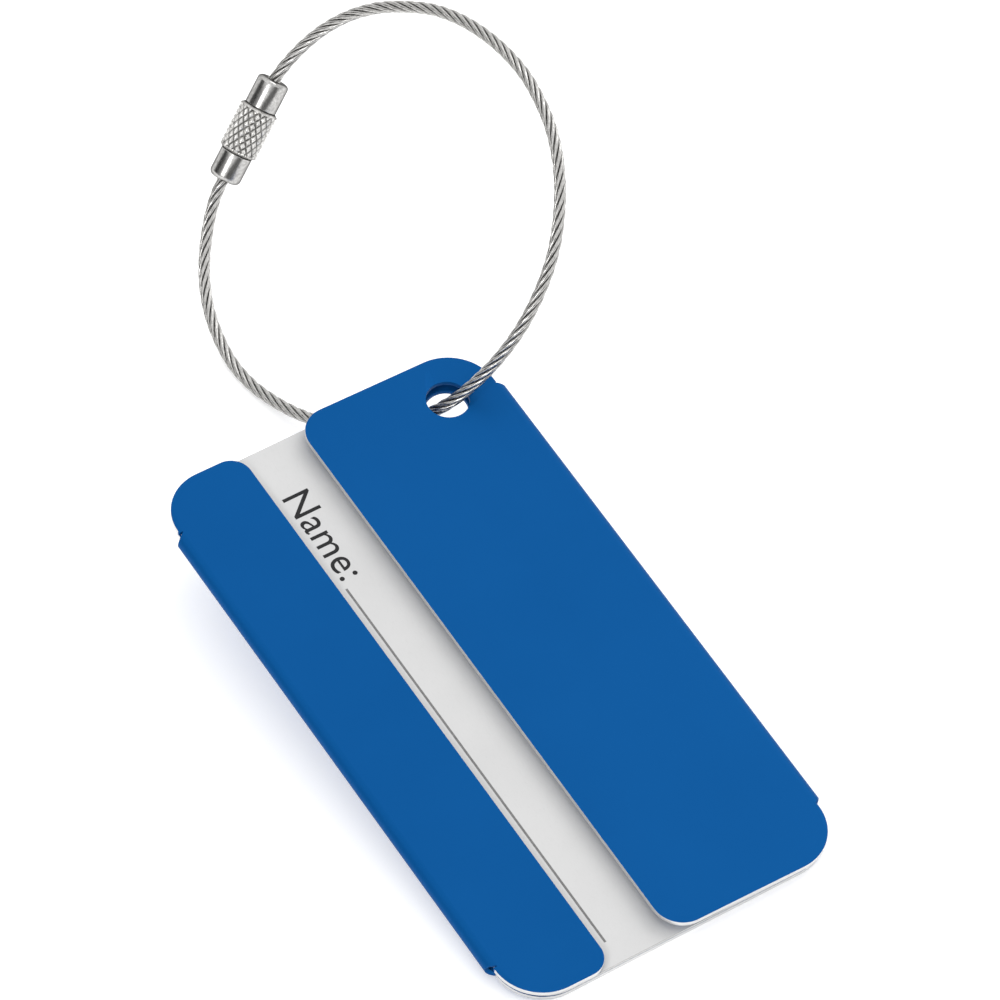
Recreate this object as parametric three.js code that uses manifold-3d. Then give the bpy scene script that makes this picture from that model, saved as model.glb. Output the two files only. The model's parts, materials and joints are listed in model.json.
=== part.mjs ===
// Luggage tag: a folded aluminium holder with a name card and a wire rope loop closed by a screw clasp.
// Units are millimetres. The tag leans on its bottom end and on the wire loop, with +Z up.
// The holder is drawn flat, in tag axes: X across, Y towards the hole, Z out of the front.
import * as THREE from "three";
import { mergeVertices } from "three/addons/utils/BufferGeometryUtils.js";
import Module from "manifold-3d";

const wasm = await Module();
wasm.setup();

const { degToRad } = THREE.MathUtils;

// Holder, made of one sheet folded over both long edges.
const TAG_WIDTH = 45;
const TAG_LENGTH = 80;
const SHEET = 0.6;
const POCKET = 1;
const FOLD_RADIUS = SHEET + POCKET / 2;
const FOLD_LENGTH = 67.8;
const FOLD_LAP = 0.05;
const FOLD_MITRE = 0.7;
const RELIEF = 0.1;
const OUTER_CORNER = 6;
const FOLD_CENTRE = TAG_WIDTH / 2 - FOLD_RADIUS;
const CURVE_STEPS = 12;

// Past each end of a fold a panel keeps an ear, which stands out by this much from the fold's centre line.
const PLATE_EAR = 0.1;
const WIDE_FLAP = { side: 1, edge: -2.5, corner: 3.6, ear: 0.1, length: 81, flare: degToRad(1.8) };
const NARROW_FLAP = { side: -1, edge: -10, corner: 2.6, ear: 0.5, length: 80.5, flare: degToRad(-1.2) };

// Hole for the wire loop, through the wide flap and the back plate.
const HOLE = { x: 15.1, y: 34.5, radius: 2.6 };
const HOLE_SIDES = 40;

// Name card, loose on the back plate, with its corner cut away round the hole.
const CARD_THICKNESS = 0.4;
const CARD_CLEARANCE = 0.05;
const CARD_WIDTH = 42.6;
const CARD_LENGTH = 80;
const CARD_CUT = { x: 11.2, y: 30.6, radius: 1.5 };

// How the tag leans, and how the loop's plane is turned in the hole.
const LEAN = degToRad(7.94);
const LOOP_CENTRE_IN_HOLE = [15.15, 34.65, 1.2];
const LOOP_SWING = degToRad(45);
const LOOP_TILT = degToRad(2.3);
const LOOP_TWIST = degToRad(17.2);

// Wire rope loop, in its own plane. The origin is where the wire passes through the hole.
const ROPE_RADIUS = 0.75;
const ROPE_SIDES = 8;
const ROPE_STEPS = 56;
const ROPE_ROUTE = [
  [-7.88, 49.21], [-6.33, 49.87], [-3.04, 50.8], [0.6, 51.22], [4.42, 50.92], [8.42, 49.76], [12.2, 47.8],
  [15.8, 45.3], [18.8, 42.2], [21.3, 38.6], [23.2, 34.9], [24.5, 31.2], [25.15, 27.5], [25.35, 23.8],
  [24.9, 20.0], [23.8, 16.2], [22.1, 12.6], [19.8, 9.2], [16.62, 6.1], [12.87, 3.5], [8.9, 1.7],
  [4.55, 0.5], [0.0, 0.0], [-5.0, 0.6], [-10.0, 2.2], [-15.0, 5.0], [-19.4, 8.8], [-22.4, 12.3],
  [-24.8, 16.0], [-26.4, 20.0], [-27.1, 24.6], [-26.95, 28.4], [-26.05, 32.0], [-24.55, 35.3],
  [-22.6, 38.3], [-20.95, 40.15], [-19.6, 41.22],
];

// Screw clasp. Its axis lies in the loop's plane, and it starts at the swivel ferrule's outer end.
const CLASP = { x: -8.12, y: 49.05, turn: degToRad(124.3) };
const CLASP_SIDES = 32;
const END_CHAMFER = 0.45;
const FERRULE_RADIUS = 2;
const SWIVEL_LENGTH = 3.8;
const SLEEVE_LENGTH = 6.15;
const THREADED_LENGTH = 3.65;
const END_GAP = 0.15;
const SLEEVE_RADIUS = 2.4;
const SLEEVE_WALL = 1;
const SLEEVE_BORE = 1.5;
const NECK_HOLE = 1;
const NECK_RADIUS = 0.7;
const HEAD_RADIUS = 1.2;
const HEAD_LENGTH = 0.7;
const STUD_RADIUS = 1.2;
const STUD_LENGTH = 2.4;

function toSolid(geometry) {
  const bare = geometry.clone();
  bare.deleteAttribute("normal");
  bare.deleteAttribute("uv");
  const merged = mergeVertices(bare.index ? bare.toNonIndexed() : bare, 1e-4);
  return new wasm.Manifold(new wasm.Mesh({
    numProp: 3,
    vertProperties: new Float32Array(merged.attributes.position.array),
    triVerts: new Uint32Array(merged.index.array),
  }));
}

function toGeometry(solid) {
  const mesh = solid.getMesh();
  const geometry = new THREE.BufferGeometry();
  geometry.setAttribute("position", new THREE.BufferAttribute(mesh.vertProperties, 3));
  geometry.setIndex(new THREE.BufferAttribute(mesh.triVerts, 1));
  geometry.computeVertexNormals();
  return geometry;
}

function makeMesh(name, geometry, look) {
  const mesh = new THREE.Mesh(geometry, new THREE.MeshStandardMaterial(look));
  mesh.name = name;
  return mesh;
}

function extrude(shape, depth) {
  return new THREE.ExtrudeGeometry(shape, { depth, bevelEnabled: false, curveSegments: CURVE_STEPS });
}

// A flat panel between two long edges, centred on y = 0. Each edge has a place in x and a corner radius.
// A folded edge is cut back to where its fold begins, and keeps an ear past each end of the fold.
function panel(left, right, length) {
  const half = length / 2;
  const ear = FOLD_LENGTH / 2 + RELIEF;
  const shape = new THREE.Shape();
  shape.moveTo(left.x + left.corner, -half);
  shape.lineTo(right.x - right.corner, -half);
  shape.absarc(right.x - right.corner, right.corner - half, right.corner, -Math.PI / 2, 0);
  if (right.folded) {
    shape.lineTo(right.x, -ear);
    shape.lineTo(right.start, -ear);
    shape.lineTo(right.start, ear);
    shape.lineTo(right.x, ear);
  }
  shape.lineTo(right.x, half - right.corner);
  shape.absarc(right.x - right.corner, half - right.corner, right.corner, 0, Math.PI / 2);
  shape.lineTo(left.x + left.corner, half);
  shape.absarc(left.x + left.corner, half - left.corner, left.corner, Math.PI / 2, Math.PI);
  if (left.folded) {
    shape.lineTo(left.x, ear);
    shape.lineTo(left.start, ear);
    shape.lineTo(left.start, -ear);
    shape.lineTo(left.x, -ear);
  }
  shape.lineTo(left.x, left.corner - half);
  shape.absarc(left.x + left.corner, left.corner - half, left.corner, Math.PI, Math.PI * 1.5);
  return extrude(shape, SHEET);
}

// A folded edge: where its fold is centred, and how far its ears and the rest of it stand out from there.
function foldedEdge(side, centre, ear, lap) {
  return { x: centre + side * ear, corner: OUTER_CORNER, folded: true, start: centre + side * lap };
}

function backPlate() {
  const left = foldedEdge(-1, -FOLD_CENTRE, PLATE_EAR, 0);
  const right = foldedEdge(1, FOLD_CENTRE, PLATE_EAR, 0);
  return toSolid(panel(left, right, TAG_LENGTH));
}

// The outline that trims a fold, seen from the front. Its ends slope back towards the tag's edge.
function foldTrim() {
  const end = FOLD_LENGTH / 2;
  const slope = FOLD_MITRE / FOLD_RADIUS;
  const reach = FOLD_RADIUS + 1;
  const shape = new THREE.Shape([
    new THREE.Vector2(-1, -end - slope),
    new THREE.Vector2(reach, slope * reach - end),
    new THREE.Vector2(reach, end - slope * reach),
    new THREE.Vector2(-1, end + slope),
  ]);
  const prism = new THREE.ExtrudeGeometry(shape, { depth: 4 * FOLD_RADIUS, bevelEnabled: false });
  prism.translate(0, 0, -2 * FOLD_RADIUS);
  return toSolid(prism);
}

// The half-round fold along one long edge, drawn across the tag and swept along it.
function fold({ side, flare }) {
  const end = Math.PI / 2 - flare;
  const shape = new THREE.Shape();
  shape.moveTo(-FOLD_LAP, -FOLD_RADIUS);
  shape.absarc(0, 0, FOLD_RADIUS, -Math.PI / 2, end);
  shape.absarc(0, 0, FOLD_RADIUS - SHEET, end, -Math.PI / 2, true);
  shape.lineTo(-FOLD_LAP, SHEET - FOLD_RADIUS);
  const strip = extrude(shape, FOLD_LENGTH);
  strip.rotateX(Math.PI / 2);
  strip.translate(0, FOLD_LENGTH / 2, 0);
  const trimmed = toSolid(strip).intersect(foldTrim());
  return trimmed.rotate([0, 0, side < 0 ? 180 : 0]).translate([side * FOLD_CENTRE, 0, FOLD_RADIUS]);
}

// A front flap, sprung open or pressed in a little about the centre of its fold.
function frontFlap({ side, edge, corner, ear, length, flare }) {
  const folded = foldedEdge(side, 0, ear, FOLD_LAP);
  const free = { x: edge - side * FOLD_CENTRE, corner, folded: false };
  const flap = side > 0 ? panel(free, folded, length) : panel(folded, free, length);
  flap.translate(0, 0, FOLD_RADIUS - SHEET);
  flap.rotateY(side * flare);
  flap.translate(side * FOLD_CENTRE, 0, FOLD_RADIUS);
  return toSolid(flap);
}

function holeCutter() {
  const cutter = new THREE.CylinderGeometry(HOLE.radius, HOLE.radius, 6 * FOLD_RADIUS, HOLE_SIDES);
  cutter.rotateX(Math.PI / 2);
  cutter.translate(HOLE.x, HOLE.y, 0);
  return toSolid(cutter);
}

function foldedShell() {
  let shell = backPlate();
  for (const flap of [WIDE_FLAP, NARROW_FLAP]) {
    shell = shell.add(fold(flap)).add(frontFlap(flap));
  }
  return toGeometry(shell.subtract(holeCutter()));
}

function nameCard() {
  const half = CARD_WIDTH / 2;
  const end = CARD_LENGTH / 2;
  const corner = OUTER_CORNER;
  const shape = new THREE.Shape();
  shape.moveTo(corner - half, -end);
  shape.lineTo(half - corner, -end);
  shape.absarc(half - corner, corner - end, corner, -Math.PI / 2, 0);
  shape.lineTo(half, CARD_CUT.y);
  shape.lineTo(CARD_CUT.x + CARD_CUT.radius, CARD_CUT.y);
  shape.absarc(
    CARD_CUT.x + CARD_CUT.radius, CARD_CUT.y + CARD_CUT.radius, CARD_CUT.radius,
    -Math.PI / 2, Math.PI, true,
  );
  shape.lineTo(CARD_CUT.x, end);
  shape.lineTo(corner - half, end);
  shape.absarc(corner - half, end - corner, corner, Math.PI / 2, Math.PI);
  shape.lineTo(-half, corner - end);
  shape.absarc(corner - half, corner - end, corner, Math.PI, Math.PI * 1.5);
  const card = extrude(shape, CARD_THICKNESS);
  card.translate(0, 0, SHEET + CARD_CLEARANCE);
  return card;
}

function wireRope() {
  const corners = Array.from({ length: ROPE_SIDES }, (_, i) => {
    const angle = (i + 0.5) * 2 * Math.PI / ROPE_SIDES;
    return new THREE.Vector2(ROPE_RADIUS * Math.cos(angle), ROPE_RADIUS * Math.sin(angle));
  });
  const section = new THREE.Shape(corners);
  const points = ROPE_ROUTE.map(([x, y]) => new THREE.Vector3(x, y, 0));
  const route = new THREE.CatmullRomCurve3(points, false, "centripetal");
  return new THREE.ExtrudeGeometry(section, { steps: ROPE_STEPS, extrudePath: route });
}

// A turned piece on the clasp's axis, from a half-section given as [radius, distance] pairs.
function turned(profile) {
  const points = profile.map(([radius, distance]) => new THREE.Vector2(radius, distance));
  return new THREE.LatheGeometry(points, CLASP_SIDES);
}

function swivelFerrule() {
  const shoulder = SWIVEL_LENGTH - END_GAP;
  const neckEnd = SWIVEL_LENGTH + SLEEVE_WALL + END_GAP;
  return turned([
    [0, 0],
    [FERRULE_RADIUS - END_CHAMFER, 0],
    [FERRULE_RADIUS, END_CHAMFER],
    [FERRULE_RADIUS, shoulder],
    [NECK_RADIUS, shoulder],
    [NECK_RADIUS, neckEnd],
    [HEAD_RADIUS, neckEnd],
    [HEAD_RADIUS, neckEnd + HEAD_LENGTH],
    [0, neckEnd + HEAD_LENGTH],
  ]);
}

function knurledSleeve() {
  const start = SWIVEL_LENGTH;
  const end = SWIVEL_LENGTH + SLEEVE_LENGTH;
  const chamfer = SLEEVE_RADIUS - FERRULE_RADIUS;
  return turned([
    [NECK_HOLE, start],
    [FERRULE_RADIUS, start],
    [SLEEVE_RADIUS, start + chamfer],
    [SLEEVE_RADIUS, end - chamfer],
    [FERRULE_RADIUS, end],
    [SLEEVE_BORE, end],
    [SLEEVE_BORE, start + SLEEVE_WALL],
    [NECK_HOLE, start + SLEEVE_WALL],
    [NECK_HOLE, start],
  ]);
}

function threadedFerrule() {
  const shoulder = SWIVEL_LENGTH + SLEEVE_LENGTH + END_GAP;
  const end = SWIVEL_LENGTH + SLEEVE_LENGTH + THREADED_LENGTH;
  return turned([
    [0, shoulder - STUD_LENGTH],
    [STUD_RADIUS, shoulder - STUD_LENGTH],
    [STUD_RADIUS, shoulder],
    [FERRULE_RADIUS, shoulder],
    [FERRULE_RADIUS, end - END_CHAMFER],
    [FERRULE_RADIUS - END_CHAMFER, end],
    [0, end],
  ]);
}

const BLUE = { color: 0x125c9e, roughness: 0.5, metalness: 0.4 };
const CARD_WHITE = { color: 0xdedede, roughness: 0.7, metalness: 0 };
const STEEL = { color: 0xb9b7b3, roughness: 0.3, metalness: 1 };
const POLISHED_STEEL = { color: 0xcfcecb, roughness: 0.18, metalness: 1 };

const holder = new THREE.Group();
holder.add(makeMesh("folded_shell", foldedShell(), BLUE));
holder.add(makeMesh("name_card", nameCard(), CARD_WHITE));

const clasp = new THREE.Group();
clasp.position.set(CLASP.x, CLASP.y, 0);
clasp.rotation.z = CLASP.turn;
clasp.add(makeMesh("swivel_ferrule", swivelFerrule(), POLISHED_STEEL));
clasp.add(makeMesh("knurled_sleeve", knurledSleeve(), POLISHED_STEEL));
clasp.add(makeMesh("threaded_ferrule", threadedFerrule(), POLISHED_STEEL));

const loop = new THREE.Group();
loop.position.set(...LOOP_CENTRE_IN_HOLE);
loop.rotation.set(-LOOP_TILT, -LOOP_SWING, -LOOP_TWIST, "YXZ");
loop.add(makeMesh("wire_rope", wireRope(), STEEL));
loop.add(clasp);

// The tag leans back from its bottom end. The holder's own box then puts the origin under its middle.
const tag = new THREE.Group();
tag.rotation.x = LEAN;
tag.add(holder, loop);
tag.updateMatrixWorld(true);
const box = new THREE.Box3().setFromObject(holder, true);
tag.position.set(0, -(box.min.y + box.max.y) / 2, -box.min.z);

const group = new THREE.Group();
group.add(tag);

export default group;
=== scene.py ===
"""A folded aluminium luggage tag: its sheet, card, wire rope loop and screw clasp, in metres."""

import json
import math

import bpy
import numpy as np
from mathutils import Matrix, Vector
from mathutils.geometry import delaunay_2d_cdt


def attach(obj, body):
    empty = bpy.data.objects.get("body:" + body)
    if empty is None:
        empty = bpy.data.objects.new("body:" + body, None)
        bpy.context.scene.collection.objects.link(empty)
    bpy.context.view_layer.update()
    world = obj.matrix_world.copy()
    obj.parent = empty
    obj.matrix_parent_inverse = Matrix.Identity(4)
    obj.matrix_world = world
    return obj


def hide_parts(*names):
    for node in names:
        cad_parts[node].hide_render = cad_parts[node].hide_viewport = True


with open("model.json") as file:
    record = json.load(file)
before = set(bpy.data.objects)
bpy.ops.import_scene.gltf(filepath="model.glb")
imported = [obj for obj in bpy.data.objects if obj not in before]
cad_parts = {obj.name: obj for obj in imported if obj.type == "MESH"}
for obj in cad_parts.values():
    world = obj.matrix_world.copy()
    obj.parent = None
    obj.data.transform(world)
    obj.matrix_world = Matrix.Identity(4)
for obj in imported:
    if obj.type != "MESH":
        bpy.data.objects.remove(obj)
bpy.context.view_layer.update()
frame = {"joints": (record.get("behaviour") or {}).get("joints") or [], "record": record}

MM = 0.001
JOINTS = {joint["name"]: joint for joint in frame["joints"]}
MOUNTS = {mount["name"]: mount for mount in frame["record"]["mounts"]}

# Tag axes: X across, Y towards the hole, Z out of the front. The origin is on the back plate's outer face.
TAG_X = Vector((1, 0, 0))
TAG_Y = -Vector(JOINTS["card_slide"]["axis"])
TAG_Z = TAG_X.cross(TAG_Y)


def placed(origin, x, y, z):
    """The matrix that takes local axes to x, y and z at origin."""
    return Matrix.Translation(Vector(origin)) @ Matrix((x, y, z)).transposed().to_4x4()


TAG = placed(MOUNTS["back_face"]["pos_m"], TAG_X, TAG_Y, TAG_Z)

# The holder's sheet.
TAG_WIDTH = 45 * MM
TAG_LENGTH = 80 * MM
SHEET = 0.6 * MM
POCKET = 1.0 * MM
FOLD_RADIUS = SHEET + POCKET / 2
FOLD_LENGTH = 67.8 * MM
FOLD_MITRE = 0.7 * MM
FOLD_CENTRE = TAG_WIDTH / 2 - FOLD_RADIUS
MID_RADIUS = FOLD_RADIUS - SHEET / 2
RELIEF = 0.1 * MM
OUTER_CORNER = 6 * MM
PLATE_EAR = 0.1 * MM
WIDE_FLAP = {
    "side": 1, "edge": -2.5 * MM, "corner": 3.6 * MM, "ear": 0.1 * MM, "length": 81 * MM,
    "flare": math.radians(1.8),
}
NARROW_FLAP = {
    "side": -1, "edge": -10 * MM, "corner": 2.6 * MM, "ear": 0.5 * MM, "length": 80.5 * MM,
    "flare": math.radians(-1.2),
}
HOLE = {"x": 15.1 * MM, "y": 34.5 * MM, "radius": 2.6 * MM}
EDGE_ROUNDING = 0.12 * MM
NOTCH_REACH = 0.4 * MM
CORNER_STEPS = 16
FOLD_STEPS = 20
HOLE_SIDES = 64

# The card.
CARD_THICKNESS = 0.4 * MM
CARD_WIDTH = 42.6 * MM
CARD_LENGTH = 80 * MM
CARD_CUT = {"x": 11.2 * MM, "y": 30.6 * MM, "radius": 1.5 * MM}
CARD_ROUNDING = 0.11 * MM
CARD_CLEARANCE = 0.05 * MM
CARD_FRONT = SHEET + CARD_CLEARANCE + CARD_THICKNESS
INK_LIFT = 0.012 * MM
CAPITAL_HEIGHT = 0.636

# The loop's plane, whose origin is where the wire passes through the hole.
LOOP_SWING = math.radians(45)
LOOP_TILT = math.radians(2.3)
LOOP_TWIST = math.radians(17.2)
LOOP = (
    Matrix.Translation(JOINTS["loop_swing"]["pos_m"])
    @ TAG.to_3x3().to_4x4()
    @ Matrix.Rotation(-LOOP_SWING, 4, "Y")
    @ Matrix.Rotation(-LOOP_TILT, 4, "X")
    @ Matrix.Rotation(-LOOP_TWIST, 4, "Z")
)
ROPE_ROUTE_MM = [
    (-7.88, 49.21), (-6.33, 49.87), (-3.04, 50.8), (0.6, 51.22), (4.42, 50.92), (8.42, 49.76), (12.2, 47.8),
    (15.8, 45.3), (18.8, 42.2), (21.3, 38.6), (23.2, 34.9), (24.5, 31.2), (25.15, 27.5), (25.35, 23.8),
    (24.9, 20.0), (23.8, 16.2), (22.1, 12.6), (19.8, 9.2), (16.62, 6.1), (12.87, 3.5), (8.9, 1.7),
    (4.55, 0.5), (0.0, 0.0), (-5.0, 0.6), (-10.0, 2.2), (-15.0, 5.0), (-19.4, 8.8), (-22.4, 12.3),
    (-24.8, 16.0), (-26.4, 20.0), (-27.1, 24.6), (-26.95, 28.4), (-26.05, 32.0), (-24.55, 35.3),
    (-22.6, 38.3), (-20.95, 40.15), (-19.6, 41.22),
]

# The rope: six strands round a core strand, each strand six wires round a core wire.
ROPE_DIAMETER = 1.5 * MM
STRAND_RADIUS = 0.245 * MM
STRAND_REACH = 0.505 * MM
ROPE_LAY = 10.4 * MM
STRAND_LAY = 4.2 * MM
WIRE_SHARE = 0.335
WORN_FLAT = 0.22
STRANDS = 6
WIRES = 6
POINTS_PER_WIRE = 5
ROUTE_STEPS_PER_SPAN = 12
ROPE_STEPS = 500
CORE_STEPS = 160
# Painted shade: the rope's steel is painted darker towards the rope's middle and between its wires, by these
# amounts.
GROOVE_SHADE_REACH = 0.62
GROOVE_SHADE_SPAN = 0.33
WIRE_SHADE = 0.3

# The clasp, along its axis from the swivel ferrule's outer end.
CLASP_AXIS = -Vector(JOINTS["sleeve_turn"]["axis"])
CLASP_SIDE = (LOOP.to_3x3() @ Vector((0, 0, 1))).normalized()
CLASP = placed(
    JOINTS["sleeve_turn"]["pos_m"], CLASP_SIDE, CLASP_AXIS.cross(CLASP_SIDE), CLASP_AXIS,
)
FERRULE_RADIUS = 2.0 * MM
SLEEVE_RADIUS = 2.4 * MM
SWIVEL_END = 3.8 * MM
SLEEVE_END = 9.95 * MM
CLASP_END = 13.6 * MM
SEAM = 0.04 * MM
ROPE_HOLE = 0.8 * MM
ROPE_HOLE_DEPTH = 1.3 * MM
ROPE_IN_FERRULE = 1.05 * MM
TURNED_SIDES = 96
ON_AXIS = 1e-9

# The camera looks down at the tag from its front left, as far off as a long lens stands.
AIM = Vector((0.0130, 0.0195, 0.0100))
AZIMUTH = math.radians(-31.66)
ELEVATION = math.radians(48.2)
ROLL = math.radians(-1.17)
DISTANCE = 0.8477
LENS = 262.3

# The studio: a bright tent over a table that glows with painted light to wash out the tag's shadow, lamps,
# and boards for the metal to reflect. Each lamp or board has a name, where it stands as azimuth, elevation
# and distance, and its width. Last is a lamp's power, or a board's height and tone.
HORIZON_TONE = 0.90
CEILING_TONE = 1.20
# Painted light: the floor glows by this much, though it is no lamp, so that the tag's shadow on it fades.
TABLE_GLOW = 0.30
FLOOR_HALF = 8.0
FLOOR_TONES = (0.90, 0.88)
DARKER_SHARE = 0.9
LAMPS = [
    ("streak", -64, 36, 1.2, 0.34, 3.0),
    ("key", 100, 48, 1.4, 0.70, 3.5),
]
BOARDS = [
    ("left_board", -124, 22, 3.6, 2.00, 2.40, 0.06),
    ("grey_board", -94, 24, 3.8, 1.68, 2.40, 0.30),
    ("front_board", -12, 15, 3.6, 3.60, 1.80, 0.17),
]

scene = bpy.context.scene


def make_camera():
    data = bpy.data.cameras.new("camera")
    data.lens = LENS
    data.sensor_width = 36
    data.clip_start = 0.01
    data.clip_end = 50
    camera = bpy.data.objects.new("camera", data)
    scene.collection.objects.link(camera)
    back = Vector((
        math.sin(AZIMUTH) * math.cos(ELEVATION),
        -math.cos(AZIMUTH) * math.cos(ELEVATION),
        math.sin(ELEVATION),
    ))
    turn = (-back).to_track_quat("-Z", "Y").to_matrix() @ Matrix.Rotation(ROLL, 3, "Z")
    camera.matrix_world = Matrix.Translation(AIM + back * DISTANCE) @ turn.to_4x4()
    scene.camera = camera


def make_object(name, vertices, faces, matrix=Matrix.Identity(4), smooth_angle=30.0):
    """A mesh object at the origin, with its place in its vertices and smooth shading up to an angle."""
    mesh = bpy.data.meshes.new(name)
    mesh.from_pydata([matrix @ Vector(v) for v in vertices], [], faces)
    mesh.validate()
    mesh.polygons.foreach_set("use_smooth", [True] * len(mesh.polygons))
    mesh.set_sharp_from_angle(angle=math.radians(smooth_angle))
    thing = bpy.data.objects.new(name, mesh)
    scene.collection.objects.link(thing)
    return thing


def apply_modifiers(thing):
    """Bakes the object's modifiers into its mesh."""
    graph = bpy.context.evaluated_depsgraph_get()
    mesh = bpy.data.meshes.new_from_object(thing.evaluated_get(graph))
    thing.modifiers.clear()
    thing.data = mesh


def arc(centre, radius, start, end, steps):
    """Points on an arc, from one angle to another in degrees."""
    angles = np.radians(np.linspace(start, end, steps + 1))
    return [(centre[0] + radius * math.cos(a), centre[1] + radius * math.sin(a)) for a in angles]


# ---- Node materials -------------------------------------------------------------------------------------


class Nodes:
    """A short way to write a node material."""

    def __init__(self, name):
        self.material = bpy.data.materials.new(name)
        self.material.use_nodes = True
        self.tree = self.material.node_tree
        self.shader = self.tree.nodes["Principled BSDF"]

    def add(self, kind, **values):
        node = self.tree.nodes.new(kind)
        for key, value in values.items():
            setattr(node, key, value)
        return node

    def link(self, output, socket):
        self.tree.links.new(output, socket)

    def set(self, **values):
        for key, value in values.items():
            self.shader.inputs[key.replace("_", " ")].default_value = value

    def coordinates(self, scale=(1, 1, 1), turn=None):
        """Object coordinates in metres, turned into a piece's own axes and scaled."""
        source = self.add("ShaderNodeTexCoord").outputs["Object"]
        if turn is not None:
            rotate = self.add("ShaderNodeMapping", vector_type="POINT")
            rotate.inputs["Rotation"].default_value = turn.to_euler()
            self.link(source, rotate.inputs["Vector"])
            source = rotate.outputs["Vector"]
        mapping = self.add("ShaderNodeMapping", vector_type="POINT")
        mapping.inputs["Scale"].default_value = scale
        self.link(source, mapping.inputs["Vector"])
        return mapping.outputs["Vector"]

    def noise(self, vector, scale, detail=4.0, roughness=0.55):
        node = self.add("ShaderNodeTexNoise")
        node.inputs["Scale"].default_value = scale
        node.inputs["Detail"].default_value = detail
        node.inputs["Roughness"].default_value = roughness
        self.link(vector, node.inputs["Vector"])
        return node.outputs["Fac"]

    def attribute(self, name):
        return self.add("ShaderNodeAttribute", attribute_name=name).outputs["Fac"]

    def ranged(self, value, low, high, new_low, new_high):
        node = self.add("ShaderNodeMapRange", clamp=True)
        for socket, number in zip(node.inputs[1:5], (low, high, new_low, new_high)):
            socket.default_value = number
        self.link(value, node.inputs[0])
        return node.outputs[0]

    def blend(self, factor, a, b):
        """A colour from a to b. Each may be a colour or a socket."""
        node = self.add("ShaderNodeMix", data_type="RGBA")
        self.link(factor, node.inputs["Factor"])
        for socket, value in ((node.inputs[6], a), (node.inputs[7], b)):
            if hasattr(value, "links"):
                self.link(value, socket)
            else:
                socket.default_value = (*value, 1)
        return node.outputs[2]

    def bump(self, height, strength, distance, after=None):
        node = self.add("ShaderNodeBump")
        node.inputs["Strength"].default_value = strength
        node.inputs["Distance"].default_value = distance
        self.link(height, node.inputs["Height"])
        if after is not None:
            self.link(after, node.inputs["Normal"])
        return node.outputs["Normal"]

    def finish(self, colour, roughness=None, normal=None):
        self.link(colour, self.shader.inputs["Base Color"])
        if roughness is not None:
            self.link(roughness, self.shader.inputs["Roughness"])
        if normal is not None:
            self.link(normal, self.shader.inputs["Normal"])
        return self.material


def blue_anodised():
    """Dyed anodised aluminium: an even deep blue with a fine satin grain."""
    m = Nodes("blue_anodised")
    m.set(Metallic=0.25, Specular_IOR_Level=0.03)
    place = m.coordinates()
    cloud = m.noise(place, 60, 3)
    grain = m.noise(place, 9000, 2, 0.7)
    colour = m.blend(m.ranged(cloud, 0.35, 0.65, 0, 1), (0.0021, 0.075, 0.258), (0.0025, 0.079, 0.269))
    colour = m.blend(m.ranged(grain, 0.3, 0.75, 0, 0.35), colour, (0.0030, 0.089, 0.296))
    roughness = m.ranged(grain, 0.25, 0.75, 0.40, 0.52)
    return m.finish(colour, roughness, m.bump(grain, 0.18, 0.00002))


def bare_aluminium():
    """The sheet's cut edges: clean metal with fine shear lines."""
    m = Nodes("bare_aluminium")
    m.set(Metallic=1.0)
    lines = m.noise(m.coordinates((1, 1, 9)), 1400, 3, 0.6)
    colour = m.blend(m.ranged(lines, 0.3, 0.7, 0, 1), (0.62, 0.62, 0.622), (0.78, 0.78, 0.78))
    return m.finish(colour, m.ranged(lines, 0.3, 0.7, 0.3, 0.5), m.bump(lines, 0.25, 0.00002))


def white_card():
    """Smooth card with faint fibres and a slightly uneven tone."""
    m = Nodes("white_card")
    place = m.coordinates()
    cloud = m.noise(place, 90, 4)
    fibres = m.noise(m.coordinates((1, 0.25, 1)), 5200, 4, 0.7)
    colour = m.blend(m.ranged(cloud, 0.35, 0.7, 0, 1), (0.600, 0.600, 0.600), (0.570, 0.570, 0.571))
    colour = m.blend(m.ranged(fibres, 0.55, 0.85, 0, 0.5), colour, (0.51, 0.51, 0.51))
    return m.finish(colour, m.ranged(fibres, 0.3, 0.7, 0.55, 0.7), m.bump(fibres, 0.2, 0.00002))


def shaded_card_edge():
    """The card's cut edges, painted grey as painted shade."""
    m = Nodes("shaded_card_edge")
    fibres = m.noise(m.coordinates(), 4200, 3, 0.6)
    # Painted shade: the edges are grey against the white card.
    colour = m.blend(m.ranged(fibres, 0.3, 0.7, 0, 1), (0.30, 0.30, 0.30), (0.38, 0.38, 0.378))
    return m.finish(colour, m.ranged(fibres, 0.3, 0.7, 0.7, 0.8))


def black_ink():
    """Matt printing ink with a slightly worn tone."""
    m = Nodes("black_ink")
    m.set(Specular_IOR_Level=0.2)
    patches = m.noise(m.coordinates(), 4000, 3)
    colour = m.blend(m.ranged(patches, 0.3, 0.75, 0, 1), (0.012, 0.012, 0.013), (0.028, 0.028, 0.029))
    return m.finish(colour, m.ranged(patches, 0.3, 0.7, 0.6, 0.8))


def grey_ink():
    """The thin writing line, printed lighter than the label."""
    m = Nodes("grey_ink")
    patches = m.noise(m.coordinates(), 3500, 3)
    colour = m.blend(m.ranged(patches, 0.3, 0.75, 0, 1), (0.13, 0.13, 0.13), (0.22, 0.22, 0.22))
    return m.finish(colour, m.ranged(patches, 0.3, 0.7, 0.6, 0.8))


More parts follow.
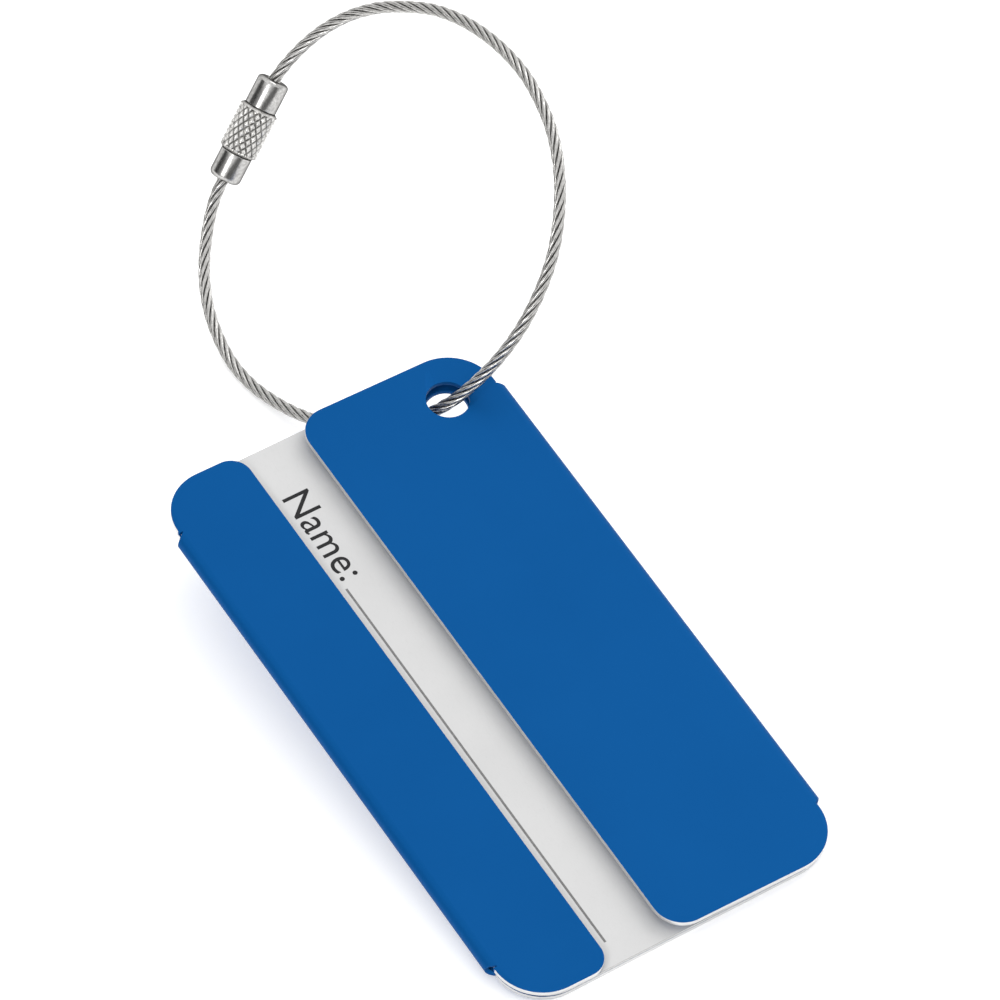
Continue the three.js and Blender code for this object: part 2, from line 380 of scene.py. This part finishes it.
def rope_steel():
    """Drawn stainless wire, bright on top of each wire and darkened down in the grooves by painted shade."""
    m = Nodes("rope_steel")
    m.set(Metallic=1.0)
    streaks = m.noise(m.coordinates(), 2600, 3, 0.6)
    worn = m.ranged(streaks, 0.35, 0.7, 0, 1)
    bright = m.blend(worn, (0.62, 0.61, 0.595), (0.42, 0.415, 0.40))
    # Painted shade: where the height attribute is low, in the grooves, the steel is painted nearly black.
    depth = m.ranged(m.attribute("height"), 0.15, 0.85, 0, 1)
    colour = m.blend(depth, (0.055, 0.053, 0.05), bright)
    return m.finish(colour, m.ranged(streaks, 0.3, 0.7, 0.22, 0.36), m.bump(streaks, 0.12, 0.00002))


def polished_steel():
    """Turned and polished steel with faint rings round its axis, darker where it is seen edge on."""
    m = Nodes("polished_steel")
    m.set(Metallic=1.0, Specular_Tint=(0.1, 0.1, 0.1, 1))
    turn = CLASP.to_3x3().inverted()
    rings = m.noise(m.coordinates((0.05, 0.05, 1), turn), 9000, 3, 0.7)
    spots = m.noise(m.coordinates(), 3200, 4, 0.65)
    colour = m.blend(m.ranged(spots, 0.35, 0.68, 0, 1), (0.58, 0.575, 0.565), (0.36, 0.355, 0.345))
    roughness = m.ranged(spots, 0.3, 0.7, 0.14, 0.28)
    return m.finish(colour, roughness, m.bump(rings, 0.15, 0.00001, m.bump(spots, 0.25, 0.00003)))


def knurled_steel():
    """The knurled band: bright pyramid faces over cut grooves darkened by painted shade."""
    m = Nodes("knurled_steel")
    m.set(Metallic=1.0, Specular_Tint=(0.1, 0.1, 0.1, 1))
    spots = m.noise(m.coordinates(), 3000, 3)
    bright = m.blend(m.ranged(spots, 0.35, 0.7, 0, 1), (0.84, 0.83, 0.81), (0.50, 0.49, 0.475))
    # Painted shade: the deeper the knurl's grooves, the darker the steel is painted.
    depth = m.ranged(m.attribute("height"), 0.0, 0.6, 0, 1)
    colour = m.blend(depth, (0.12, 0.117, 0.11), bright)
    return m.finish(colour, m.ranged(spots, 0.3, 0.7, 0.2, 0.36), m.bump(spots, 0.2, 0.00003))


# ---- The wire rope --------------------------------------------------------------------------------------


def smooth_route(points, steps_per_span):
    """A centripetal Catmull-Rom curve through the points, with its two ends carried straight on."""
    points = np.array(points, float)
    points = np.vstack([2 * points[0] - points[1], points, 2 * points[-1] - points[-2]])
    line = []
    for i in range(1, len(points) - 2):
        p0, p1, p2, p3 = points[i - 1:i + 3]
        t0, t1, t2 = (np.linalg.norm(b - a) ** 0.5 for a, b in ((p0, p1), (p1, p2), (p2, p3)))
        m1 = ((p1 - p0) / t0 - (p2 - p0) / (t0 + t1) + (p2 - p1) / t1) * t1
        m2 = ((p2 - p1) / t1 - (p3 - p1) / (t1 + t2) + (p3 - p2) / t2) * t1
        for t in np.linspace(0, 1, steps_per_span, endpoint=False):
            a = 2 * t ** 3 - 3 * t ** 2 + 1
            b = t ** 3 - 2 * t ** 2 + t
            c = 3 * t ** 2 - 2 * t ** 3
            d = t ** 3 - t ** 2
            line.append(a * p1 + b * m1 + c * p2 + d * m2)
    line.append(points[-2])
    return np.array(line)


def evenly(line, count):
    """The same line with points an even distance apart, and its length."""
    along = np.concatenate([[0], np.cumsum(np.linalg.norm(np.diff(line, axis=0), axis=1))])
    at = np.linspace(0, along[-1], count)
    return np.stack([np.interp(at, along, line[:, k]) for k in range(line.shape[1])], 1), along[-1]


def rope_centreline():
    """The rope's route in the loop's plane, carried on into both ferrules along the clasp's axis."""
    route = smooth_route(ROPE_ROUTE_MM, ROUTE_STEPS_PER_SPAN) * MM
    axis = (route[-1] - route[0]) / np.linalg.norm(route[-1] - route[0])
    start = route[0] + axis * ROPE_IN_FERRULE
    end = route[-1] - axis * ROPE_IN_FERRULE
    return np.vstack([start, route, end])


def strand_section():
    """One strand's outline: the outer arcs of its wires, as angle and radius in strand radii."""
    ring = 1 - WIRE_SHARE
    half = math.pi / WIRES
    offsets = (np.arange(POINTS_PER_WIRE) + 0.5) / POINTS_PER_WIRE * 2 * half - half
    across = np.minimum(ring * np.abs(np.sin(offsets)), WIRE_SHARE * 0.999)
    radii = ring * np.cos(offsets) + np.sqrt(WIRE_SHARE ** 2 - across ** 2)
    radii = 1 - WORN_FLAT * (1 - radii)
    angles = np.concatenate([offsets + 2 * math.pi * k / WIRES for k in range(WIRES)])
    return angles, np.tile(radii, WIRES)


def add_strand(centre, axis_a, axis_b, twist, vertices, faces, groove_shade_levels, rope_line):
    """One lobed strand swept along centre, closed at both ends, with a painted shade level for each point.
    """
    angles, radii = strand_section()
    sides = len(angles)
    first = len(vertices)
    turned = angles[None, :] + twist[:, None]
    rings = (
        centre[:, None, :]
        + STRAND_RADIUS * radii[None, :, None] * np.cos(turned)[:, :, None] * axis_a[:, None, :]
        + STRAND_RADIUS * radii[None, :, None] * np.sin(turned)[:, :, None] * axis_b[:, None, :]
    )
    # Painted shade: each point's level is lower towards the rope's middle and between the wires, and darkens
    # the steel there.
    reach = np.linalg.norm(rings - rope_line[:, None, :], axis=2) / (ROPE_DIAMETER / 2)
    outward = np.clip((reach - GROOVE_SHADE_REACH) / GROOVE_SHADE_SPAN, 0, 1)
    groove = (radii[None, :] - radii.min()) / (radii.max() - radii.min())
    vertices.extend(rings.reshape(-1, 3).tolist())
    groove_shade_levels.extend((outward * (1 - WIRE_SHADE + WIRE_SHADE * groove)).reshape(-1).tolist())
    for i in range(len(centre) - 1):
        for k in range(sides):
            a, b = first + i * sides + k, first + i * sides + (k + 1) % sides
            faces.append((a, b, b + sides, a + sides))
    faces.append(tuple(first + k for k in reversed(range(sides))))
    last = first + (len(centre) - 1) * sides
    faces.append(tuple(last + k for k in range(sides)))


def normals_along(line):
    """The in-plane normal at each point of a line in the loop's plane."""
    tangent = np.gradient(line, axis=0)
    tangent /= np.linalg.norm(tangent, axis=1)[:, None]
    return np.stack([-tangent[:, 1], tangent[:, 0], np.zeros(len(line))], 1)


def wire_rope():
    flat, length = evenly(rope_centreline(), ROPE_STEPS)
    line = np.column_stack([flat, np.zeros(len(flat))])
    across = normals_along(line)
    up = np.array([0.0, 0.0, 1.0])
    along = np.linspace(0, length, ROPE_STEPS)
    vertices, faces, groove_shade_levels = [], [], []
    for k in range(STRANDS):
        phase = 2 * math.pi * (along / ROPE_LAY + k / STRANDS)
        radial = np.cos(phase)[:, None] * across + np.sin(phase)[:, None] * up
        centre = line + STRAND_REACH * radial
        direction = np.gradient(centre, axis=0)
        direction /= np.linalg.norm(direction, axis=1)[:, None]
        side = np.cross(direction, radial)
        side /= np.linalg.norm(side, axis=1)[:, None]
        twist = -2 * math.pi * along / STRAND_LAY + k
        add_strand(centre, np.cross(side, direction), side, twist, vertices, faces, groove_shade_levels, line)
    core = line[:: ROPE_STEPS // CORE_STEPS]
    core_twist = 2 * math.pi * np.linspace(0, length, len(core)) / ROPE_LAY
    core_up = np.tile(up, (len(core), 1))
    add_strand(core, normals_along(core), core_up, core_twist, vertices, faces, groove_shade_levels, core)
    rope = make_object("rope", vertices, faces, LOOP, 180)
    # The height attribute carries the painted shade of the grooves to the material.
    attribute = rope.data.attributes.new("height", "FLOAT", "POINT")
    attribute.data.foreach_set("value", groove_shade_levels)
    rope.data.materials.append(rope_steel())
    path = [LOOP @ Vector(p) for p in line]
    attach(rope, "loop")
    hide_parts("wire_rope")
    return rope, path


# ---- The clasp ------------------------------------------------------------------------------------------


def revolve(name, profile, sides, material, body, node, relief=None):
    """A turned piece from a closed profile of (radius, height) points that may start and end on the axis."""
    vertices, faces, rows = [], [], []
    for radius, height in profile:
        if radius < ON_AXIS:
            rows.append([len(vertices)] * sides)
            vertices.append((0, 0, height))
            continue
        rows.append(list(range(len(vertices), len(vertices) + sides)))
        for k in range(sides):
            angle = 2 * math.pi * k / sides
            r = radius - (relief(angle, height, radius) if relief else 0)
            vertices.append((r * math.cos(angle), r * math.sin(angle), height))
    closed = profile[0][0] > ON_AXIS
    pairs = list(zip(rows, rows[1:])) + ([(rows[-1], rows[0])] if closed else [])
    for low, high in pairs:
        for k in range(sides):
            corners = [low[k], low[(k + 1) % sides], high[(k + 1) % sides], high[k]]
            face = list(dict.fromkeys(corners))
            if len(face) > 2:
                faces.append(face)
    piece = make_object(name, vertices, faces, CLASP, 35)
    piece.data.materials.append(material)
    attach(piece, body)
    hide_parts(node)
    return piece


def rounded(corner, radius, start, end):
    """A rounded profile corner whose arc is centred at corner, as (radius, height) points."""
    return arc(corner, radius, start, end, 5)


def swivel_ferrule(material):
    rim, lip = 0.5 * MM, 0.12 * MM
    neck, head = 0.7 * MM, 1.2 * MM
    neck_end, head_end = SWIVEL_END + 1.15 * MM, SWIVEL_END + 1.85 * MM
    profile = [(0, ROPE_HOLE_DEPTH), (ROPE_HOLE, ROPE_HOLE_DEPTH), (ROPE_HOLE, lip)]
    profile += [(ROPE_HOLE + lip, 0)]
    profile += rounded((FERRULE_RADIUS - rim, rim), rim, -90, 0)
    profile += rounded((FERRULE_RADIUS - lip, SWIVEL_END - SEAM - lip), lip, 0, 90)
    profile += [(neck, SWIVEL_END - SEAM), (neck, neck_end)]
    profile += [(head, neck_end), (head, head_end), (0, head_end)]
    return revolve("ferrule_with_swivel", profile, TURNED_SIDES, material, "loop", "swivel_ferrule")


def threaded_ferrule(material):
    rim, lip = 0.65 * MM, 0.12 * MM
    stud, stud_start = 1.2 * MM, SLEEVE_END - 2.25 * MM
    pitch, thread_depth, point, lead_in = 0.5 * MM, 0.14 * MM, 0.2 * MM, 0.15 * MM
    shoulder = SLEEVE_END + SEAM

    def thread(angle, height, radius):
        if radius > stud or not stud_start < height < shoulder:
            return 0
        turn = (height / pitch - angle / (2 * math.pi)) % 1
        return thread_depth * abs(2 * turn - 1)

    profile = [(0, stud_start), (stud - point, stud_start)]
    profile += [(stud, h) for h in np.linspace(stud_start + lead_in, shoulder, 44)]
    profile += rounded((FERRULE_RADIUS - lip, shoulder + lip), lip, -90, 0)
    profile += rounded((FERRULE_RADIUS - rim, CLASP_END - rim), rim, 0, 90)
    profile += [(ROPE_HOLE + lip, CLASP_END), (ROPE_HOLE, CLASP_END - lip)]
    profile += [(ROPE_HOLE, CLASP_END - ROPE_HOLE_DEPTH), (0, CLASP_END - ROPE_HOLE_DEPTH)]
    return revolve("ferrule_with_stud", profile, TURNED_SIDES, material, "loop", "threaded_ferrule", thread)


def knurled_sleeve(material):
    """The sleeve, cut all round by two crossing sets of V grooves that leave small pyramids."""
    starts, pitch, depth, plain = 16, 1.3 * MM, 0.25 * MM, 0.14 * MM
    edge, flat, sides_per_start, rings = 0.3 * MM, 0.25, 18, 72
    low, high = SWIVEL_END + edge, SLEEVE_END - edge

    def knurl(angle, height, radius):
        if radius < SLEEVE_RADIUS - 1e-7:
            return 0
        around, along = starts * angle / (2 * math.pi), (height - low) / pitch
        groove = max(abs(2 * ((around + along) % 1) - 1), abs(2 * ((around - along) % 1) - 1))
        fade = min(1, (height - low) / plain, (high - height) / plain)
        return depth * max(0, (groove - flat) / (1 - flat)) * max(0, fade)

    bore, neck_hole, wall = 1.5 * MM, 1.0 * MM, 1.0 * MM
    profile = [(neck_hole, SWIVEL_END), (FERRULE_RADIUS, SWIVEL_END)]
    profile += [(SLEEVE_RADIUS, h) for h in np.linspace(low, high, rings)]
    profile += [(FERRULE_RADIUS, SLEEVE_END), (bore, SLEEVE_END)]
    profile += [(bore, SWIVEL_END + wall), (neck_hole, SWIVEL_END + wall)]
    sides = starts * sides_per_start
    sleeve = revolve("sleeve_with_knurl", profile, sides, material, "sleeve", "knurled_sleeve", knurl)
    # Painted shade: the height attribute is lower down in the knurl's grooves, for the material to darken
    # them.
    inverse = CLASP.inverted()
    reach = [(inverse @ v.co).to_2d().length for v in sleeve.data.vertices]
    attribute = sleeve.data.attributes.new("height", "FLOAT", "POINT")
    attribute.data.foreach_set("value", [1 - min(1, (SLEEVE_RADIUS - r) / depth) for r in reach])
    return sleeve


# ---- The folded holder ----------------------------------------------------------------------------------


def panel_outline(left, right, length):
    """A flat panel's outline, centred on y = 0. Each long edge is its place, its corner radius and where its
    fold begins, or None for a free edge. A folded edge keeps an ear past each end of the fold."""
    half, end = length / 2, FOLD_LENGTH / 2
    ear = end + RELIEF
    (x0, radius0, start0), (x1, radius1, start1) = left, right
    outline = arc((x1 - radius1, radius1 - half), radius1, -90, 0, CORNER_STEPS)
    if start1 is not None:
        outline += [(x1, -ear), (start1, -ear), (start1, -end), (start1, end), (start1, ear), (x1, ear)]
    outline += arc((x1 - radius1, half - radius1), radius1, 0, 90, CORNER_STEPS)
    outline += arc((x0 + radius0, half - radius0), radius0, 90, 180, CORNER_STEPS)
    if start0 is not None:
        outline += [(x0, ear), (start0, ear), (start0, end), (start0, -end), (start0, -ear), (x0, -ear)]
    return outline + arc((x0 + radius0, radius0 - half), radius0, 180, 270, CORNER_STEPS)


def filled(outline, hole=None):
    """Triangles that fill an outline, less a round hole given by its centre and radius."""
    loops = [outline]
    if hole:
        loops.append(arc(hole[0], hole[1], 0, 360, HOLE_SIDES)[:-1])
    points, edges = [], []
    for loop in loops:
        first = len(points)
        points += [Vector(p) for p in loop]
        edges += [(first + i, first + (i + 1) % len(loop)) for i in range(len(loop))]
    vertices, _, triangles, *_ = delaunay_2d_cdt(points, edges, [], 1, 1e-9)
    if hole:
        centre = Vector(hole[0])
        middles = [sum((vertices[i] for i in t), Vector((0, 0))) / 3 for t in triangles]
        triangles = [t for t, m in zip(triangles, middles) if (m - centre).length > hole[1]]
    return [tuple(v) for v in vertices], [tuple(t) for t in triangles]


def plate_point(point, out):
    """A point of the back plate, out being its offset from the middle of the sheet to the blue side."""
    return point[0], point[1], SHEET / 2 - out


def fold_point(flap, point, out):
    """A point of a fold, given how far round the bend it is, from 0 to 1, and its place along the tag.
    The fold's ends slope back towards the tag's edge."""
    turn = -math.pi / 2 + point[0] * (math.pi - flap["flare"])
    x = FOLD_CENTRE + (MID_RADIUS + out) * math.cos(turn)
    kept = 1 - math.sin(math.pi * point[0]) * FOLD_MITRE / (FOLD_LENGTH / 2)
    return flap["side"] * x, point[1] * kept, FOLD_RADIUS + (MID_RADIUS + out) * math.sin(turn)


def flap_point(flap, point, out):
    """A point of a front flap, given how far it is from the end of the bend."""
    x, y, z = fold_point(flap, (1, point[1]), out)
    inward, rise = point[0] * math.cos(flap["flare"]), point[0] * math.sin(flap["flare"])
    return x - flap["side"] * inward, y, z + rise


def sheet_patches():
    """The sheet as patches: where its points go, the points, its faces, and whether they turn over."""
    hole = ((HOLE["x"], HOLE["y"]), HOLE["radius"])
    reach = FOLD_CENTRE + PLATE_EAR
    left, right = (-reach, OUTER_CORNER, -FOLD_CENTRE), (reach, OUTER_CORNER, FOLD_CENTRE)
    plate = panel_outline(left, right, TAG_LENGTH)
    patches = [(plate_point, *filled(plate, hole), True)]
    for flap in (WIDE_FLAP, NARROW_FLAP):
        width = FOLD_CENTRE - flap["side"] * flap["edge"]
        folded, free = (-flap["ear"], OUTER_CORNER, 0.0), (width, flap["corner"], None)
        outline = panel_outline(folded, free, flap["length"])
        pierced = ((FOLD_CENTRE - HOLE["x"], HOLE["y"]), HOLE["radius"]) if flap["side"] > 0 else None
        ends = (-FOLD_LENGTH / 2, FOLD_LENGTH / 2)
        bend = [(i / FOLD_STEPS, y) for i in range(FOLD_STEPS + 1) for y in ends]
        quads = [(2 * i, 2 * i + 2, 2 * i + 3, 2 * i + 1) for i in range(FOLD_STEPS)]
        turned = flap["side"] > 0
        patches.append((lambda p, out, f=flap: flap_point(f, p, out), *filled(outline, pierced), turned))
        patches.append((lambda p, out, f=flap: fold_point(f, p, out), bend, quads, not turned))
    return patches


def folded_sheet():
    """The vertices and faces of the folded sheet, and which faces are bare metal."""
    places, index, partner, outer_faces, inner_faces = [], {}, {}, [], []

    def corner(place):
        key = tuple(round(value / (0.001 * MM)) for value in place)
        if key not in index:
            index[key] = len(places)
            places.append(place)
        return index[key]

    for goes_to, points, faces, turned in sheet_patches():
        outer = [corner(goes_to(p, SHEET / 2)) for p in points]
        inner = [corner(goes_to(p, -SHEET / 2)) for p in points]
        partner.update(zip(outer, inner))
        for face in faces:
            face = tuple(reversed(face)) if turned else tuple(face)
            outer_faces.append(tuple(outer[i] for i in face))
            inner_faces.append(tuple(inner[i] for i in reversed(face)))
    directed = {(face[i - 1], face[i]) for face in outer_faces for i in range(len(face))}
    rim = sorted(edge for edge in directed if (edge[1], edge[0]) not in directed)
    rim_faces = [(b, a, partner[a], partner[b]) for a, b in rim]
    dyed_faces = outer_faces + inner_faces
    return places, dyed_faces + rim_faces, [False] * len(dyed_faces) + [True] * len(rim_faces)


def dye_punched_edges(shell):
    """The hole and the notches at the folds are punched before the sheet is dyed, so their edges are blue.
    The other edges are cut afterwards."""
    flat = TAG.inverted()
    for face in shell.data.polygons:
        place = flat @ face.center
        in_hole = math.hypot(place.x - HOLE["x"], place.y - HOLE["y"]) < HOLE["radius"] + 2 * EDGE_ROUNDING
        at_side = abs(place.x) > FOLD_CENTRE - EDGE_ROUNDING
        in_notch = at_side and abs(place.y) < FOLD_LENGTH / 2 + NOTCH_REACH
        if in_hole or in_notch:
            face.material_index = 0


def folded_shell():
    places, faces, bare = folded_sheet()
    shell = make_object("holder", places, faces, TAG, 40)
    shell.data.materials.append(blue_anodised())
    shell.data.materials.append(bare_aluminium())
    shell.data.polygons.foreach_set("material_index", [int(b) for b in bare])
    rounding = shell.modifiers.new("rounding", "BEVEL")
    rounding.width = EDGE_ROUNDING
    rounding.segments = 2
    rounding.limit_method = "ANGLE"
    rounding.angle_limit = math.radians(40)
    rounding.material = 1
    apply_modifiers(shell)
    dye_punched_edges(shell)
    shell.data.polygons.foreach_set("use_smooth", [True] * len(shell.data.polygons))
    shell.data.set_sharp_from_angle(angle=math.radians(45))
    weighted = shell.modifiers.new("flat_faces", "WEIGHTED_NORMAL")
    weighted.keep_sharp = True
    apply_modifiers(shell)
    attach(shell, "shell")
    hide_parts("folded_shell")


# ---- The card -------------------------------------------------------------------------------------------


def card_outline():
    half, end, corner = CARD_WIDTH / 2, CARD_LENGTH / 2, OUTER_CORNER
    cut_x, cut_y, fillet = CARD_CUT["x"], CARD_CUT["y"], CARD_CUT["radius"]
    return (
        arc((half - corner, corner - end), corner, -90, 0, CORNER_STEPS)
        + [(half, cut_y)]
        + arc((cut_x + fillet, cut_y + fillet), fillet, -90, -180, 6)
        + [(cut_x, end)]
        + arc((corner - half, end - corner), corner, 90, 180, CORNER_STEPS)
        + arc((corner - half, corner - end), corner, 180, 270, CORNER_STEPS)
    )


def prism(name, outline, low, high, material, body, rounding=0.0, edge_material=None):
    """A flat piece in tag axes between two heights. Rounded edges have a material of their own."""
    points, triangles = filled(outline)
    count = len(points)
    vertices = [(x, y, high) for x, y in points] + [(x, y, low) for x, y in points]
    faces = [tuple(t) for t in triangles] + [tuple(count + i for i in reversed(t)) for t in triangles]
    directed = {(t[i], t[(i + 1) % len(t)]) for t in triangles for i in range(len(t))}
    rim = [edge for edge in directed if (edge[1], edge[0]) not in directed]
    faces += [(b, a, a + count, b + count) for a, b in sorted(rim)]
    piece = make_object(name, vertices, faces, TAG, 40)
    piece.data.materials.append(material)
    if rounding:
        piece.data.materials.append(edge_material)
        bevel = piece.modifiers.new("rounding", "BEVEL")
        bevel.width = rounding
        bevel.material = 1
        bevel.segments = 2
        bevel.limit_method = "ANGLE"
        bevel.angle_limit = math.radians(50)
        apply_modifiers(piece)
        piece.data.polygons.foreach_set("use_smooth", [True] * len(piece.data.polygons))
        piece.data.set_sharp_from_angle(angle=math.radians(50))
    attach(piece, body)
    return piece


def name_card():
    low, high = CARD_FRONT - CARD_THICKNESS, CARD_FRONT
    card = prism("card", card_outline(), low, high, white_card(), "card", CARD_ROUNDING, shaded_card_edge())
    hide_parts("name_card")


def form_label():
    """The printed word at the head of the writing line, read from the hole end towards the bottom end."""
    height, start_y, base_x, spacing = 3.2 * MM, 33.05 * MM, -8.73 * MM, 1.04
    data = bpy.data.curves.new("label_text", "FONT")
    data.body = "Name:"
    data.extrude = INK_LIFT / 2
    data.resolution_u = 6
    data.size = height / CAPITAL_HEIGHT
    data.space_character = spacing
    text = bpy.data.objects.new("label_text", data)
    scene.collection.objects.link(text)
    bpy.context.view_layer.update()
    graph = bpy.context.evaluated_depsgraph_get()
    mesh = bpy.data.meshes.new_from_object(text.evaluated_get(graph))
    bpy.data.objects.remove(text)
    local = placed((base_x, start_y, CARD_FRONT + INK_LIFT), (0, -1, 0), (1, 0, 0), (0, 0, 1))
    mesh.transform(TAG @ local)
    label = bpy.data.objects.new("printed_label", mesh)
    scene.collection.objects.link(label)
    mesh.materials.clear()
    mesh.materials.append(black_ink())
    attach(label, "card")


def writing_line():
    """The thin printed rule beside the narrow flap's edge."""
    x, width, top, bottom = -8.8 * MM, 0.28 * MM, 18.3 * MM, -36.9 * MM
    outline = [(x - width / 2, bottom), (x + width / 2, bottom), (x + width / 2, top), (x - width / 2, top)]
    low, high = CARD_FRONT + INK_LIFT / 4, CARD_FRONT + INK_LIFT
    rule = prism("printed_rule", outline, low, high, grey_ink(), "card")


# ---- The studio -----------------------------------------------------------------------------------------


def aim_from(azimuth, elevation, distance):
    """A place in the studio, seen from the aim point. Azimuth 0 is in front and 90 to the right."""
    azimuth, elevation = math.radians(azimuth), math.radians(elevation)
    return AIM + distance * Vector((
        math.sin(azimuth) * math.cos(elevation),
        -math.cos(azimuth) * math.cos(elevation),
        math.sin(elevation),
    ))


def make_world():
    """A white tent, a little brighter overhead than at the horizon."""
    world = bpy.data.worlds.new("studio")
    scene.world = world
    world.use_nodes = True
    nodes, links = world.node_tree.nodes, world.node_tree.links
    nodes["Background"].inputs["Color"].default_value = (1, 1, 1, 1)
    place = nodes.new("ShaderNodeTexCoord")
    parts = nodes.new("ShaderNodeSeparateXYZ")
    rise = nodes.new("ShaderNodeMapRange")
    for socket, value in zip(rise.inputs[1:5], (0.0, 1.0, HORIZON_TONE, CEILING_TONE)):
        socket.default_value = value
    links.new(place.outputs["Generated"], parts.inputs[0])
    links.new(parts.outputs["Z"], rise.inputs[0])
    links.new(rise.outputs[0], nodes["Background"].inputs["Strength"])


def facing_aim(place):
    return (AIM - place).to_track_quat("-Z", "Y")


def make_lamp(name, azimuth, elevation, distance, width, power):
    data = bpy.data.lights.new(name, "AREA")
    data.shape = "SQUARE"
    data.size = width
    data.energy = power
    lamp = bpy.data.objects.new(name, data)
    scene.collection.objects.link(lamp)
    lamp.location = aim_from(azimuth, elevation, distance)
    lamp.rotation_mode = "QUATERNION"
    lamp.rotation_quaternion = facing_aim(lamp.location)


def make_stage(name, corners, tones, glow=0.0):
    """A flat matt sheet of the studio, with a slightly uneven tone and, where glow is given, an even glow of
    painted light.
    """
    sheet = make_object(name, corners, [(0, 1, 2, 3)])
    m = Nodes(name)
    m.set(Roughness=0.9, Specular_IOR_Level=0.1, Emission_Color=(1, 1, 1, 1), Emission_Strength=glow)
    tone = m.noise(m.coordinates(), 3, 2)
    light, dark = tones
    sheet.data.materials.append(m.finish(m.blend(m.ranged(tone, 0.3, 0.7, 0, 1), (light,) * 3, (dark,) * 3)))


def make_studio():
    signs = [(-1, -1), (1, -1), (1, 1), (-1, 1)]
    floor = [(x * FLOOR_HALF, y * FLOOR_HALF, 0) for x, y in signs]
    # The floor glows as painted light.
    make_stage("studio_floor", floor, FLOOR_TONES, TABLE_GLOW)
    for name, azimuth, elevation, distance, width, height, tone in BOARDS:
        place = aim_from(azimuth, elevation, distance)
        turn = facing_aim(place).to_matrix()
        board = [place + turn @ Vector((x * width / 2, y * height / 2, 0)) for x, y in signs]
        make_stage(name, board, (tone, DARKER_SHARE * tone))
    make_world()
    for lamp in LAMPS:
        make_lamp(*lamp)
    scene.view_settings.view_transform = "Standard"


make_camera()
rope, rope_path = wire_rope()
steel = polished_steel()
swivel = swivel_ferrule(steel)
stud_end = threaded_ferrule(steel)
sleeve = knurled_sleeve(knurled_steel())
folded_shell()
name_card()
form_label()
writing_line()
make_studio()
